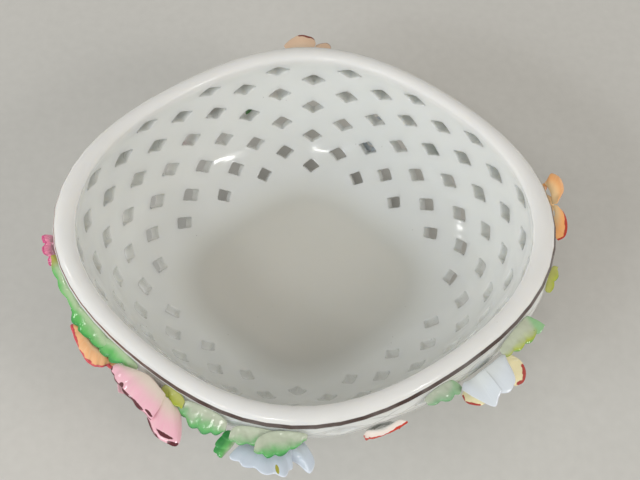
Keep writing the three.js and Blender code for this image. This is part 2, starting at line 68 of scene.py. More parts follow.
camera = new_object("camera", bpy.data.cameras.new("camera"))
camera.location = CAMERA_PLACE
towards = CAMERA_TARGET - CAMERA_PLACE
camera.rotation_mode = "QUATERNION"
camera.rotation_quaternion = towards.to_track_quat("-Z", "Y")
camera.rotation_quaternion @= Euler((0, 0, CAMERA_ROLL)).to_quaternion()
camera.data.lens = CAMERA_LENS
camera.data.sensor_width = 36
camera.data.clip_start = 0.01
bpy.context.scene.camera = camera
print("camera", round(towards.length / MM), "mm from its target")

# %% [markdown]
# ## Small helpers for shader nodes
#
# A material is a tree of nodes. These helpers add a node, join it to its inputs and hand it back, so that
# each recipe below reads in the order in which a decorator would work: body, blush, line, gloss.


# %% Node helpers
def add(tree, kind, values=None, **settings):
    """A new node. Each value is a number for one of its inputs, or the output that feeds it."""
    node = tree.nodes.new(kind)
    for key, value in settings.items():
        setattr(node, key, value)
    for key, value in (values or {}).items():
        if isinstance(value, bpy.types.NodeSocket):
            tree.links.new(value, node.inputs[key])
        else:
            node.inputs[key].default_value = value
    return node


def calc(tree, operation, first, second=0.0, third=0.0):
    node = add(tree, "ShaderNodeMath", {0: first, 1: second, 2: third}, operation=operation)
    return node.outputs[0]


def ramp(tree, value, start, end):
    """0 below start and 1 above end, with a soft step between."""
    values = {"Value": value, "From Min": start, "From Max": end}
    node = add(tree, "ShaderNodeMapRange", values, interpolation_type="SMOOTHSTEP")
    return node.outputs["Result"]


def blend(tree, share, first, second):
    return add(tree, "ShaderNodeMix", {0: share, 6: first, 7: second}, data_type="RGBA").outputs[2]


def noise(tree, vector, scale, detail=2.0):
    values = {"Vector": vector, "Scale": scale, "Detail": detail}
    return add(tree, "ShaderNodeTexNoise", values).outputs["Fac"]


def object_place(tree):
    return add(tree, "ShaderNodeTexCoord").outputs["Object"]


def colour(hexa):
    """A colour as painted, from its hex code to the linear numbers that a shader wants."""
    parts = [int(hexa[i : i + 2], 16) / 255 for i in (1, 3, 5)]
    return (*[p / 12.92 if p <= 0.04045 else ((p + 0.055) / 1.055) ** 2.4 for p in parts], 1.0)


def new_group(name, inputs, outputs):
    """A node group whose inputs and outputs are all plain numbers."""
    tree = bpy.data.node_groups.new(name, "ShaderNodeTree")
    for side, titles in (("INPUT", inputs), ("OUTPUT", outputs)):
        for title in titles:
            tree.interface.new_socket(title, in_out=side, socket_type="NodeSocketFloat")
    return tree, tree.nodes.new("NodeGroupInput"), tree.nodes.new("NodeGroupOutput")


def new_material(name, **constants):
    material = bpy.data.materials.new(name)
    material.use_nodes = True
    shader = material.node_tree.nodes["Principled BSDF"]
    for key, value in constants.items():
        shader.inputs[key.replace("_", " ")].default_value = value
    return material.node_tree, shader, material


print("the code #808080 is", round(colour("#808080")[0], 3), "of white in linear light")

# %% [markdown]
# ## The glaze
#
# Porcelain glaze is a glass coat about a quarter of a millimetre thick. It never lies quite flat: it
# ripples over the press marks of the mould, and dust leaves a few pits and specks. One node group
# makes all of that, so that every piece shares the same skin. It puts out a height for the bump, a
# roughness that wanders a little and a mottle that tints the body.

# %% Glaze group
glaze_group, _, g_out = new_group("glaze skin", [], ["Height", "Roughness", "Mottle", "Speck"])
place = object_place(glaze_group)
swell = noise(glaze_group, place, 90.0, 1.0)
orange_peel = noise(glaze_group, place, 520.0, 2.0)
cells = add(glaze_group, "ShaderNodeTexVoronoi", {"Vector": place, "Scale": 330.0})
pit = calc(glaze_group, "SUBTRACT", 1.0, ramp(glaze_group, cells.outputs["Distance"], 0.02, 0.07))
rare = ramp(glaze_group, noise(glaze_group, place, 210.0, 0.0), 0.63, 0.68)
speck = calc(glaze_group, "MULTIPLY", pit, rare)
low = calc(glaze_group, "MULTIPLY_ADD", orange_peel, 0.12, swell)
height = calc(glaze_group, "MULTIPLY_ADD", speck, -0.25, low)
rough = calc(glaze_group, "MULTIPLY_ADD", orange_peel, 0.10, 0.10)
mottle = noise(glaze_group, place, 38.0, 3.0)
for title, value in (("Height", height), ("Roughness", rough), ("Mottle", mottle), ("Speck", speck)):
    glaze_group.links.new(value, g_out.inputs[title])
print("glaze group:", [s.name for s in glaze_group.interface.items_tree])


def finish_glaze(tree, shader, body, extra_height=None, depth=0.12):
    """Lays the shared glaze skin over a painted body colour."""
    skin = add(tree, "ShaderNodeGroup", node_tree=glaze_group)
    tint = ramp(tree, skin.outputs["Mottle"], 0.35, 0.65)
    shade = blend(tree, calc(tree, "MULTIPLY", tint, 0.06), body, colour("#b9c2bd"))
    dusty = blend(tree, calc(tree, "MULTIPLY", skin.outputs["Speck"], 0.5), shade, colour("#6b5d4c"))
    tree.links.new(dusty, shader.inputs["Base Color"])
    tree.links.new(skin.outputs["Roughness"], shader.inputs["Roughness"])
    height = skin.outputs["Height"]
    if extra_height is not None:
        height = calc(tree, "ADD", height, extra_height)
    bump = add(tree, "ShaderNodeBump", {"Height": height, "Strength": depth, "Distance": 0.4 * MM})
    tree.links.new(bump.outputs["Normal"], shader.inputs["Normal"])


# %% [markdown]
# ## The plan and the wall
#
# The plan is an oval drawn out into four soft corners, so a point of it is found from an angle: the
# radius swells twice a turn for the oval and four times a turn for the corners. The lattice counts 32
# columns round the box and 10 rows down it, and both faces of the wall are smooth curves through one
# station a row. Every piece of the box is placed by column and row, like a stitch in a basket.

# %% Plan and wall
COLUMNS = 32
RIM_LENGTH = 142 * MM
RIM_WIDTH = 128.6 * MM
LOBE = 2.5 * MM  # how far the four corners are drawn out
MEAN = (RIM_LENGTH + RIM_WIDTH) / 4 - LOBE
OVAL = (RIM_LENGTH - RIM_WIDTH) / (4 * MEAN)
RIM = 40 * MM
DEPTH = 34 * MM
WALL = 4 * MM
RELIEF = 0.6 * MM  # how far the crossings of the lattice swell out
FIRST_HOLES, LAST_HOLES = 1, 8  # the rows that are pierced
TILT_TOP, TILT_FOOT, TILT_BEND = 12, 40, 1.5  # degrees below level at which they are cut
# The wall's stations, one a row, as shares of MEAN, DEPTH, LOBE and WALL.
RADII = [0.921, 0.908, 0.886, 0.858, 0.828, 0.793, 0.748, 0.687, 0.613, 0.54, 0.47]
DROPS = [0.025, 0.103, 0.203, 0.318, 0.447, 0.579, 0.697, 0.794, 0.874, 0.943, 0.985]
LOBES = [0.8, 0.74, 0.7, 0.62, 0.52, 0.47, 0.54, 0.7, 0.85, 0.85, 0.8]
THICK = [1.35, 1.7, 1.9, 1.7, 1.35, 1.1, 0.92, 0.8, 0.72, 0.7, 0.7]


def plan_point(column, station):
    """A place in the plan. A station holds radius, corner swell and height."""
    angle = math.pi / 2 - column / COLUMNS * math.tau
    reach = station.x * (1 + OVAL * math.cos(2 * angle)) + station.y * math.cos(4 * angle)
    return Vector((reach * math.cos(angle), reach * math.sin(angle), station.z))


inner_rows, outer_rows = [], []
for row, (radius, drop, lobe, thick) in enumerate(zip(RADII, DROPS, LOBES, THICK)):
    inside = Vector((radius * MEAN, lobe * LOBE, RIM - drop * DEPTH))
    share = min(max((row - FIRST_HOLES) / (LAST_HOLES - FIRST_HOLES), 0), 1)
    tilt = math.radians(TILT_TOP + (TILT_FOOT - TILT_TOP) * share**TILT_BEND)
    inner_rows.append(inside)
    outer_rows.append(inside + thick * WALL * Vector((math.cos(tilt), 0, -math.sin(tilt))))


def on_curve(rows, row):
    """A smooth curve through the stations, at any row between them."""
    i = min(max(int(row), 0), len(rows) - 2)
    t = row - i
    first, second = rows[i], rows[i + 1]
    before = rows[i - 1] if i else 2 * first - second
    after = rows[i + 2] if i + 2 < len(rows) else 2 * second - first
    start, end = (second - before) / 2, (after - first) / 2
    bend = (3 * t**2 - 2 * t**3) * (second - first)
    return first + bend + (t - 2 * t**2 + t**3) * start + (t**3 - t**2) * end


def wall_point(column, row, outside, relief=0.0):
    station = on_curve(outer_rows if outside else inner_rows, row).copy()
    station.x += relief
    return plan_point(column, station)


def make_object(name, bm, nodes, material):
    """Closes a piece: normals out, smooth faces, its place in the model and its finish."""
    bmesh.ops.recalc_face_normals(bm, faces=bm.faces)
    mesh = bpy.data.meshes.new(name)
    bm.to_mesh(mesh)
    bm.free()
    mesh.shade_smooth()
    mesh.materials.append(material)
    piece = new_object(name, mesh)
    modifier = piece.modifiers.new("soft edges", "SUBSURF")
    modifier.levels = modifier.render_levels = 1
    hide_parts(*nodes)
    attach(piece, "root")
    return piece


top, foot = [tuple(round(v / MM, 1) for v in station) for station in (inner_rows[0], inner_rows[-1])]
print("inner wall from radius, corner swell and height", top, "down to", foot, "mm")

# %% [markdown]
# ## The pierced bowl
#
# A real one is pressed in a mould and its diamonds are cut out one by one while the clay is leather
# hard. Here a tube of 32 columns is cut into rows. Every second point of it is the middle of a hole and
# the others are crossings: joining the crossings and dissolving the middles leaves one diamond face for
# each hole. Inset those, delete the middles, and the tube has become a lattice.
# `float_vector` layers remember each point's column and row, whatever shape the tube takes next.

# %% Lattice
ROWS = LAST_HOLES + 1
HOLE_WIDTH = 7.9 * MM
HOLE_HEIGHT = 4.5 * MM
HALF_COLUMNS = HOLE_WIDTH / 2 / (math.tau * inner_rows[1].x) * COLUMNS
HALF_ROWS = HOLE_HEIGHT / 2 / (inner_rows[5] - inner_rows[4]).length
INSET = 0.05  # it only makes the new corners, which are placed below
bm = bmesh.new()
bmesh.ops.create_cone(bm, cap_ends=False, segments=COLUMNS, radius1=1, radius2=1, depth=ROWS)
bmesh.ops.translate(bm, verts=bm.verts, vec=(0, 0, ROWS / 2))
upright = [e for e in bm.edges if abs(e.verts[0].co.z - e.verts[1].co.z) > 1]
bmesh.ops.subdivide_edges(bm, edges=upright, cuts=ROWS - 1, use_grid_fill=True)


def grid_place(spot):
    """The column and row of a point of the tube."""
    turn = (math.pi / 2 - math.atan2(spot.y, spot.x)) / math.tau * COLUMNS
    return turn % COLUMNS, spot.z


def is_crossing(v):
    column, row = grid_place(v.co)
    return (round(column) + round(row)) % 2 == 1


bmesh.ops.connect_verts(bm, verts=[v for v in bm.verts if is_crossing(v)])
bmesh.ops.dissolve_verts(bm, verts=[v for v in bm.verts if not is_crossing(v)])
diamonds = [f for f in bm.faces if len(f.verts) == 4]
bmesh.ops.inset_individual(bm, faces=diamonds, thickness=INSET)
for face in diamonds:
    column, row = grid_place(face.calc_center_median())
    for v in face.verts:
        aside = (grid_place(v.co)[0] - column + COLUMNS / 2) % COLUMNS - COLUMNS / 2
        down = v.co.z - row
        across = math.copysign(HALF_COLUMNS, aside) if abs(aside) > abs(down) else 0.0
        along = math.copysign(HALF_ROWS, down) if not across else 0.0
        angle = math.pi / 2 - (column + across) / COLUMNS * math.tau
        v.co = Vector((math.cos(angle), math.sin(angle), row + along))
bmesh.ops.delete(bm, geom=diamonds, context="FACES_ONLY")
bmesh.ops.subdivide_edges(bm, edges=bm.edges, cuts=1, use_grid_fill=True)
print(len(diamonds), "piercings,", len(bm.faces), "faces in the flat lattice")

# %% [markdown]
# The tube now takes the bowl's shape. The inner face follows the inner curve. `extrude_face_region` with
# the first face kept gives the outer face and, at one stroke, the walls of all the piercings. The outer
# face swells at the crossings, where one strap of the basket passes over the other. The region's two
# borders got walls as well, and those go, because the lip and the floor will close the gap there.

# %% Inner and outer wall
CROSSING_REACH = 0.6  # in columns and rows
place_layer = bm.verts.layers.float_vector.new("place")
for v in bm.verts:
    column, row = grid_place(v.co)
    v[place_layer] = (column, row, 0)
    v.co = wall_point(column, row, False)
shell = bmesh.ops.extrude_face_region(bm, geom=bm.faces[:], use_keep_orig=True)
outer_verts = [g for g in shell["geom"] if isinstance(g, bmesh.types.BMVert)]
for v in outer_verts:
    column, row, _ = v[place_layer]
    near_column, near_row = round(column), round(row)
    crossing = (near_column + near_row) % 2 and FIRST_HOLES <= near_row <= LAST_HOLES
    away = math.hypot(column - near_column, row - near_row)
    relief = RELIEF * max(0.0, 1 - away / CROSSING_REACH) if crossing else 0.0
    v[place_layer] = (column, row, 1)
    v.co = wall_point(column, row, True, relief)


def joins_both_faces(face):
    return {v[place_layer].z for v in face.verts} == {0.0, 1.0}


def on_row(face, row):
    return all(abs(v[place_layer].y - row) < 0.01 for v in face.verts)


border_walls = [f for f in bm.faces if joins_both_faces(f) and (on_row(f, 0) or on_row(f, ROWS))]
bmesh.ops.delete(bm, geom=border_walls, context="FACES_ONLY")
bare = [e for e in bm.edges if not e.link_faces]
bmesh.ops.delete(bm, geom=bare, context="EDGES")
print(len(border_walls), "border walls taken away,", len(bm.faces), "faces left")

# %% [markdown]
# Glaze rounds every edge that a knife leaves. The edges of the piercings get a bevel of a quarter of a
# millimetre. The subdivision that comes last would round the diamonds off altogether, so their corners
# are creased: a crease holds the smoothed surface close to its point or edge.

# %% Softened piercings
EDGE_SOFTNESS = 0.25 * MM
POINT_CREASE, EDGE_CREASE = 0.9, 0.8
hole_edges = [
    e for e in bm.edges if len(e.link_faces) == 2 and sum(joins_both_faces(f) for f in e.link_faces) == 1
]
bmesh.ops.bevel(
    bm, geom=hole_edges, offset=EDGE_SOFTNESS, segments=2, profile=0.5, affect="EDGES", material=-1,
    clamp_overlap=True,
)
crease = bm.verts.layers.float.new("crease_vert")
for v in bm.verts:
    column, row, _ = v[place_layer]
    aside, down = abs(column - round(column)), abs(row - round(row))
    pierced = (round(column) + round(row)) % 2 == 0 and FIRST_HOLES <= round(row) <= LAST_HOLES
    if pierced and (abs(aside - HALF_COLUMNS) < 0.02 or abs(down - HALF_ROWS) < 0.02):
        v[crease] = POINT_CREASE
corner_edges = bm.edges.layers.float.new("crease_edge")
for e in bm.edges:
    near = (e.verts[0][place_layer].xy - e.verts[1][place_layer].xy).length < 0.1
    if near and all(v[crease] > 0.5 for v in e.verts):
        e[corner_edges] = EDGE_CREASE
print(len(hole_edges), "sharp hole edges softened,", len(bm.faces), "faces")

# %% [markdown]
# The rolled lip closes the top, the floor closes the inside and the base closes the outside. Each is an
# edge loop extruded from ring to ring: `extrude_edge_only` copies the loop, and the copy moves to its
# next station. At the last station `remove_doubles` welds it to the loop that waits there.


# %% Lip
def border_loop(outside, row):
    """The open loop of edges of the inner (0) or outer (1) face at this row."""
    found = []
    for e in bm.edges:
        spots = [v[place_layer] for v in e.verts]
        if e.is_boundary and all(abs(s.z - outside) < 0.01 and abs(s.y - row) < 0.01 for s in spots):
            found.append(e)
    return found


def carry(loop, place_of, mark, level):
    """Extrudes a loop once, and moves the copy to place_of(column)."""
    made = bmesh.ops.extrude_edge_only(bm, edges=loop)["geom"]
    for v in (g for g in made if isinstance(g, bmesh.types.BMVert)):
        column = v[place_layer].x
        v[place_layer] = (column, level, mark)
        v.co = place_of(column)
    return [g for g in made if isinstance(g, bmesh.types.BMEdge) and g.is_boundary]


LIP = 5.3 * MM
CROWN = 1.3 * MM
UNDERCUT = 0.2 * MM
LIP_STEPS = 10
SHOULDER = [(0.55, 0.8, -0.65), (0.95, 1.6, -0.3)]  # out and down in millimetres, and the row
lip_middle = MEAN - LIP / 2
loop = border_loop(0, 0)
for i in range(LIP_STEPS + 1):
    turn = math.pi * (1 - i / LIP_STEPS)
    lobe = (LOBES[0] + (1 - LOBES[0]) * i / LIP_STEPS) * LOBE
    half = LIP / 2 if turn < math.pi / 2 else LIP / 2 - UNDERCUT
    station = Vector((lip_middle + half * math.cos(turn), lobe, RIM + CROWN * math.sin(turn)))
    loop = carry(loop, lambda c, s=station: plan_point(c, s), 2, -2 + i / LIP_STEPS)
for step, drop, level in SHOULDER:
    shoulder = Vector((MEAN + step * MM, LOBE, RIM - drop * MM))
    loop = carry(loop, lambda c, s=shoulder: plan_point(c, s), 2, level)
loop = carry(loop, lambda c: wall_point(c, 0, True), 1, 0)
print("lip", round(LIP / MM, 1), "mm wide in", LIP_STEPS, "steps, with", len(loop), "edges round")

# %% [markdown]
# The floor and the base are rings that shrink towards the middle, where `edgeloop_fill` closes the last.

# %% Floor and base
FLOOR = 6 * MM
FLOOR_FILLET = 3 * MM
FLOOR_RINGS = [0.8, 0.55, 0.3, 0.08]  # shares of the floor's edge
FOOT = 3 * MM
FOOT_RADIUS, FOOT_LOBE = 34.4, 2.0  # millimetres, as in the lists of rings
BASE_RINGS = [(FOOT_RADIUS, FOOT_LOBE), (33.4, 2.0), (24.0, 1.2), (12.0, 0.5), (3.0, 0.1)]
WELD = 0.002 * MM
corner = inner_rows[-1]
floor_edge = Vector((corner.x - FLOOR_FILLET, corner.y, FLOOR))
loop = carry(border_loop(0, ROWS), lambda c: plan_point(c, corner), 0, 10)
loop = carry(loop, lambda c: plan_point(c, floor_edge), 0, 11)
for share in FLOOR_RINGS:
    ring = Vector((floor_edge.x * share, floor_edge.y * share, FLOOR))
    loop = carry(loop, lambda c, s=ring: plan_point(c, s), 0, 12)
bmesh.ops.edgeloop_fill(bm, edges=loop)
loop = border_loop(1, ROWS)
for radius, lobe in BASE_RINGS:
    ring = Vector((radius * MM, lobe * MM, FOOT))
    loop = carry(loop, lambda c, s=ring: plan_point(c, s), 1, 12)
bmesh.ops.edgeloop_fill(bm, edges=loop)
bmesh.ops.remove_doubles(bm, verts=bm.verts, dist=WELD)
print("open edges left in the bowl:", sum(e.is_boundary for e in bm.edges))

# %% [markdown]
# The decorator's line is painted after glazing, with a banding wheel, so it follows the plan. The lattice
# place of each point goes into a UV map, columns across and one long count of rows: the inside runs from
# -2 at the lip down to -11 below its lowest hole, the lip from -2 to -1, the shoulder that carries the
# line from -1 to 0, and the outside from 0 down to 9. The floor goes on to -14 and the base to 12. The
# shader can then paint by column and row.

# %% Bowl's UV map
uv = bm.loops.layers.uv.new("lattice")
for face in bm.faces:
    columns = [loop.vert[place_layer].x for loop in face.loops]
    for loop, column in zip(face.loops, columns):
        _, row, mark = loop.vert[place_layer]
        if max(columns) - min(columns) > COLUMNS / 2 and column < COLUMNS / 2:
            column += COLUMNS
        loop[uv].uv = (column, -2 - row if mark == 0 else row)
painted_rows = [loop[uv].uv.y for face in bm.faces for loop in face.loops]
print("UV rows from", round(min(painted_rows), 1), "to", round(max(painted_rows), 1))

# %% [markdown]
# The body is thin enough to let some light through. Subsurface scattering does that here, and it lightens
# the walls of the piercings. The clay is painted a little whiter on the lip, as painted light, and greyer
# and warmer on the floor, darkest in its fold, as painted shade. The line is a thin brown wash under the
# lip, broad and dark in front and on the right, thinner and redder at the left. Outside, every strap of
# the basket has a fine groove along each edge, where the mould's cutter ran, and painted shade darkens
# the grooves a little.

# %% Bowl's glaze
tree, shader, porcelain = new_material(
    "white porcelain", Coat_Weight=0.5, Coat_Roughness=0.04,
    Subsurface_Weight=0.8, Subsurface_Scale=6 * MM, Subsurface_Radius=(1.0, 0.95, 0.85))
spot = add(tree, "ShaderNodeSeparateXYZ", {0: add(tree, "ShaderNodeUVMap", uv_map="lattice").outputs[0]})
column, row = spot.outputs[0], spot.outputs[1]
here = object_place(tree)
place = add(tree, "ShaderNodeSeparateXYZ", {0: here})
wobble = calc(tree, "MULTIPLY_ADD", noise(tree, here, 60.0, 1.0), 0.16, -0.08)
line_row = calc(tree, "ADD", row, wobble)
leftness = ramp(tree, place.outputs[0], -20 * MM, -62 * MM)
line_top = calc(tree, "MULTIPLY_ADD", leftness, 0.13, -0.99)
line_foot = calc(tree, "MULTIPLY_ADD", leftness, -0.2, -0.42)
above = calc(tree, "SUBTRACT", line_row, line_top)
below = calc(tree, "SUBTRACT", line_foot, line_row)
line = calc(tree, "MULTIPLY", ramp(tree, above, 0.0, 0.08), ramp(tree, below, 0.0, 0.08))
line = calc(tree, "MULTIPLY", line, ramp(tree, place.outputs[2], 37.9 * MM, 38.2 * MM))
patchy = calc(tree, "MULTIPLY_ADD", noise(tree, here, 140.0, 2.0), 0.4, 0.75)
line = calc(tree, "MINIMUM", calc(tree, "MULTIPLY", line, patchy), 1.0)
brown = blend(tree, leftness, colour("#38180f"), colour("#6e3a2a"))
outside = ramp(tree, row, 0.2, 0.5)
# Painted shade: the grooves along the straps' edges are darkened in colour as well as sunk by the bump.
groove_lanes_and_shade = []
for sign in (1.0, -1.0):
    lane = calc(tree, "PINGPONG", calc(tree, "MULTIPLY_ADD", row, sign, column), 1.0)
    groove_lanes_and_shade.append(ramp(tree, calc(tree, "ABSOLUTE", calc(tree, "SUBTRACT", lane, 0.66)), 0.06, 0.0))
groove_and_painted_shade = calc(tree, "MULTIPLY", calc(tree, "MAXIMUM", *groove_lanes_and_shade), outside)
# Painted light: the lip is painted a little whiter than the walls, for the light it catches.
lip_painted_light = ramp(tree, place.outputs[2], 37.5 * MM, 39.5 * MM)
# Painted shade: the floor is painted greyer and warmer, and its fold darker, for the shade deep in the bowl.
floor_painted_shade = ramp(tree, calc(tree, "MULTIPLY_ADD", noise(tree, here, 25.0, 1.0), 0.6, row), -9.6, -13.4)
fold_painted_shade = calc(tree, "MULTIPLY", floor_painted_shade, calc(tree, "SUBTRACT", 1.0, ramp(tree, row, -12.2, -13.6)))
clay = blend(tree, lip_painted_light, colour("#dcdfde"), colour("#e1e2e2"))
clay = blend(tree, floor_painted_shade, clay, colour("#d6d5ce"))
clay = blend(tree, calc(tree, "MULTIPLY", fold_painted_shade, 0.18), clay, colour("#a8aaa2"))
body = blend(tree, calc(tree, "MULTIPLY", groove_and_painted_shade, 0.5), clay, colour("#8d8d88"))
body = blend(tree, line, body, brown)
finish_glaze(tree, shader, body, calc(tree, "MULTIPLY", groove_and_painted_shade, -1.5))
bowl = make_object("pierced_bowl_glazed", bm, ["pierced_bowl"], porcelain)
print("bowl:", len(bowl.data.polygons), "faces before softening")

# %% [markdown]
# ## The foot ring
#
# A foot is thrown or rolled as a ring and luted under the floor. Its lower edge is wiped clean of glaze
# so that it doesn't stick to the kiln shelf, and the bare biscuit there is matt and faintly stained.

# %% Foot ring
FOOT_PROFILE = [(FOOT_RADIUS, 3.0), (34.1, 1.6), (33.7, 0.45), (33.1, 0.0),
                (32.1, 0.0), (31.5, 0.45), (31.1, 1.6), (30.8, 3.0)]  # radius and height
profile = [Vector((radius, FOOT_LOBE, level)) * MM for radius, level in FOOT_PROFILE]
bm = bmesh.new()
bmesh.ops.create_circle(bm, segments=64, radius=1)
place_layer = bm.verts.layers.float_vector.new("place")
for v in bm.verts:
    v[place_layer] = (grid_place(v.co)[0], 0, 0)
    v.co = plan_point(v[place_layer].x, profile[0])
loop = bm.edges[:]
for station in profile[1:] + profile[:1]:
    loop = carry(loop, lambda c, s=station: plan_point(c, s), 1, 0)
bmesh.ops.remove_doubles(bm, verts=bm.verts, dist=WELD)
tree, shader, foot_glaze = new_material("foot glaze and biscuit", Coat_Roughness=0.05)
here = object_place(tree)
level = add(tree, "ShaderNodeSeparateXYZ", {0: here}).outputs[2]
grain = noise(tree, here, 900.0, 3.0)
edge = calc(tree, "MULTIPLY_ADD", grain, 0.5 * MM, level)
glazed = ramp(tree, edge, 0.55 * MM, 0.8 * MM)
stained = ramp(tree, noise(tree, here, 60.0, 4.0), 0.45, 0.75)
stain = blend(tree, stained, colour("#dcd8cd"), colour("#b9ab95"))
tree.links.new(blend(tree, glazed, stain, colour("#e9ecea")), shader.inputs["Base Color"])
tree.links.new(calc(tree, "MULTIPLY_ADD", glazed, -0.55, 0.75), shader.inputs["Roughness"])
tree.links.new(calc(tree, "MULTIPLY", glazed, 0.5), shader.inputs["Coat Weight"])
bump = add(tree, "ShaderNodeBump", {"Height": grain, "Strength": 0.15, "Distance": 0.3 * MM})
tree.links.new(bump.outputs["Normal"], shader.inputs["Normal"])
foot = make_object("foot_ring_glazed", bm, ["foot_ring"], foot_glaze)
print("foot:", len(foot.data.polygons), "faces")

# %% [markdown]
# ## Petals
#
# A porcelain petal is a thin pat of clay pressed in the palm and stood up round a small pad. Here it is a
# flat grid between two curves. Its root is an arc round the pad, wider beside the pad's top, and `sink`
# takes it back into the wall there. Its hem is a smooth curve through a few stations, each a turn round the
# flower's axis, a distance from it and a height. The petals that the photograph shows have their own hems,
# and the hidden ones share a round one. The grid keeps a UV map, across the petal and along it, for the
# paint. It is shifted by one for each petal, so a brush mark can be put on one petal alone.


# %% Flower frame, hems and sheets
def perch(column, row, stand_off):
    """A frame on the outer wall: X right as seen from outside, Y up the wall, Z out of it."""
    at = wall_point(column, row, True)
    along = wall_point(column + 0.05, row, True) - at
    down = wall_point(column, row + 0.05, True) - at
    out = along.cross(down).normalized()
    right = -down.cross(out).normalized()
    up = out.cross(right)
    turn = Matrix((right, up, out)).transposed().to_4x4()
    return Matrix.Translation(at + out * stand_off) @ turn


GAP = 0.3 * MM
STAND_OFF = RELIEF + GAP
HUB_RISE = 0.3  # a pad's height as a share of its radius
PETAL_THICK = 1.1 * MM
PETAL_BULGE = 0.8 * MM
ROOT_SPREAD = 1.2  # widens the root beside the top of the pad
ROOT_DEPTH = 0.3  # millimetres below the foot of the pad
PAD_FOOT, PAD_TOP, PAD_ROUND = 0.75, 0.7, 0.15  # shares of a pad's radius
HEM_HALF_TURN = 34  # degrees that a round hem takes to each side
HEM_FALL = 65  # degrees whose cosine is the share of its length left at its ends


def smooth(stations):
    """A curve through the stations, from 0 at the first to 1 at the last."""
    return lambda share: on_curve(stations, share * (len(stations) - 1))


def own_hem(*stations, **style):
    """A hem as it shows in the photograph: turns in degrees, distances and heights in millimetres."""
    return [Vector((math.radians(t), r * MM, h * MM)) for t, r, h in stations], style


def round_hems(hub, length, flare, *angles, **style):
    """Round hems at these angles. Their length falls away like a cosine to each side."""
    hems = []
    for angle in angles:
        stations = []
        for share in (-1, -0.5, 0, 0.5, 1):
            fall = length * math.cos(math.radians(HEM_FALL * share))
            radius = hub + fall * math.sin(math.radians(flare))
            stations.append((angle - HEM_HALF_TURN * share, radius, fall * math.cos(math.radians(flare))))
        hems.append(own_hem(*stations, **style))
    return hems


def petal_place(hub, stations, lobes=0, nick=0.06, ruffle=0.0, phase=0.0, sink=0.0):
    """A function that lays a petal's grid between its root on the pad and its hem."""
    hem = smooth(stations)
    first, last = stations[0].x, stations[-1].x

    def place(across, along, side):
        turn = first + (last - first) * across
        upward = max(0.0, math.sin(turn))
        root = Vector((turn, hub * (1 + ROOT_SPREAD * upward * (1 - upward)), 0))
        root.z = -(ROOT_DEPTH + sink * upward**4) * MM
        top = hem(across)
        lean = math.atan2(top.y - root.y, top.z - root.z)
        wave = abs(math.sin(math.pi * (lobes * across + phase))) if lobes else 1.0
        at = root.lerp(top, along * (1 - nick * (1 - wave)))
        out = PETAL_BULGE * math.sin(math.pi * along) - side * PETAL_THICK * (1 - 0.5 * along**3)
        out += ruffle * MM * along**2 * (wave - 0.6)
        radius = at.y + out * math.cos(lean)
        return Vector((radius * math.cos(at.x), radius * math.sin(at.x), at.z - out * math.sin(lean)))

    return place


def thin_sheet(bm, place, frame_matrix, steps, number=0):
    """A closed sheet from a grid: the grid becomes the back, its extruded copy the face."""
    uv = bm.loops.layers.uv.get("UVMap") or bm.loops.layers.uv.new("UVMap")
    spots = bm.verts.layers.float_vector.get("spot") or bm.verts.layers.float_vector.new("spot")
    bmesh.ops.create_grid(bm, x_segments=steps[0], y_segments=steps[1], size=0.5)
    back = [v for v in bm.verts if not v.tag]
    for v in back:
        v[spots] = (v.co.x + 0.5, v.co.y + 0.5, 0)
    faces = list({f for v in back for f in v.link_faces})
    shell = bmesh.ops.extrude_face_region(bm, geom=faces, use_keep_orig=True)["geom"]
    front = [g for g in shell if isinstance(g, bmesh.types.BMVert)]
    for v in front:
        v[spots].z = 1
    for v in back + front:
        v.tag = True
        v.co = frame_matrix @ place(*v[spots])
    for face in {f for v in back + front for f in v.link_faces}:
        for loop in face.loops:
            loop[uv].uv = loop.vert[spots].xy + Vector((number, 0))


def pad(bm, frame_matrix, hub):
    """The little cushion of clay that the petals stand on."""
    rise = HUB_RISE * hub
    made = bmesh.ops.create_cone(
        bm, cap_ends=True, segments=20, radius1=hub * PAD_FOOT, radius2=hub * PAD_TOP, depth=rise,
        matrix=frame_matrix @ Matrix.Translation((0, 0, rise / 2)),
    )["verts"]
    caps = [f for f in {f for v in made for f in v.link_faces} if len(f.verts) > 4]
    bmesh.ops.inset_individual(bm, faces=caps, thickness=hub * PAD_ROUND)
    for v in bm.verts:
        v.tag = True


print("a petal is", PETAL_THICK / MM, "mm thick at its root and half of that at its hem")

# %% [markdown]
# ## Petal paint
#
# The colours go on over the glaze with a soft brush: a wash that deepens towards the hem, fine strokes
# from the foot outwards, and a dark line flicked along the edge. A node group turns the petal's UV map
# into three masks for these, and each flower mixes its own colours with them. `dabs` adds single brush
# marks, such as the rose's dark touches, the pansy's red ones and the drop on the white petal.

# %% Petal paint group
def petal_map(tree):
    return add(tree, "ShaderNodeUVMap", uv_map="UVMap").outputs[0]


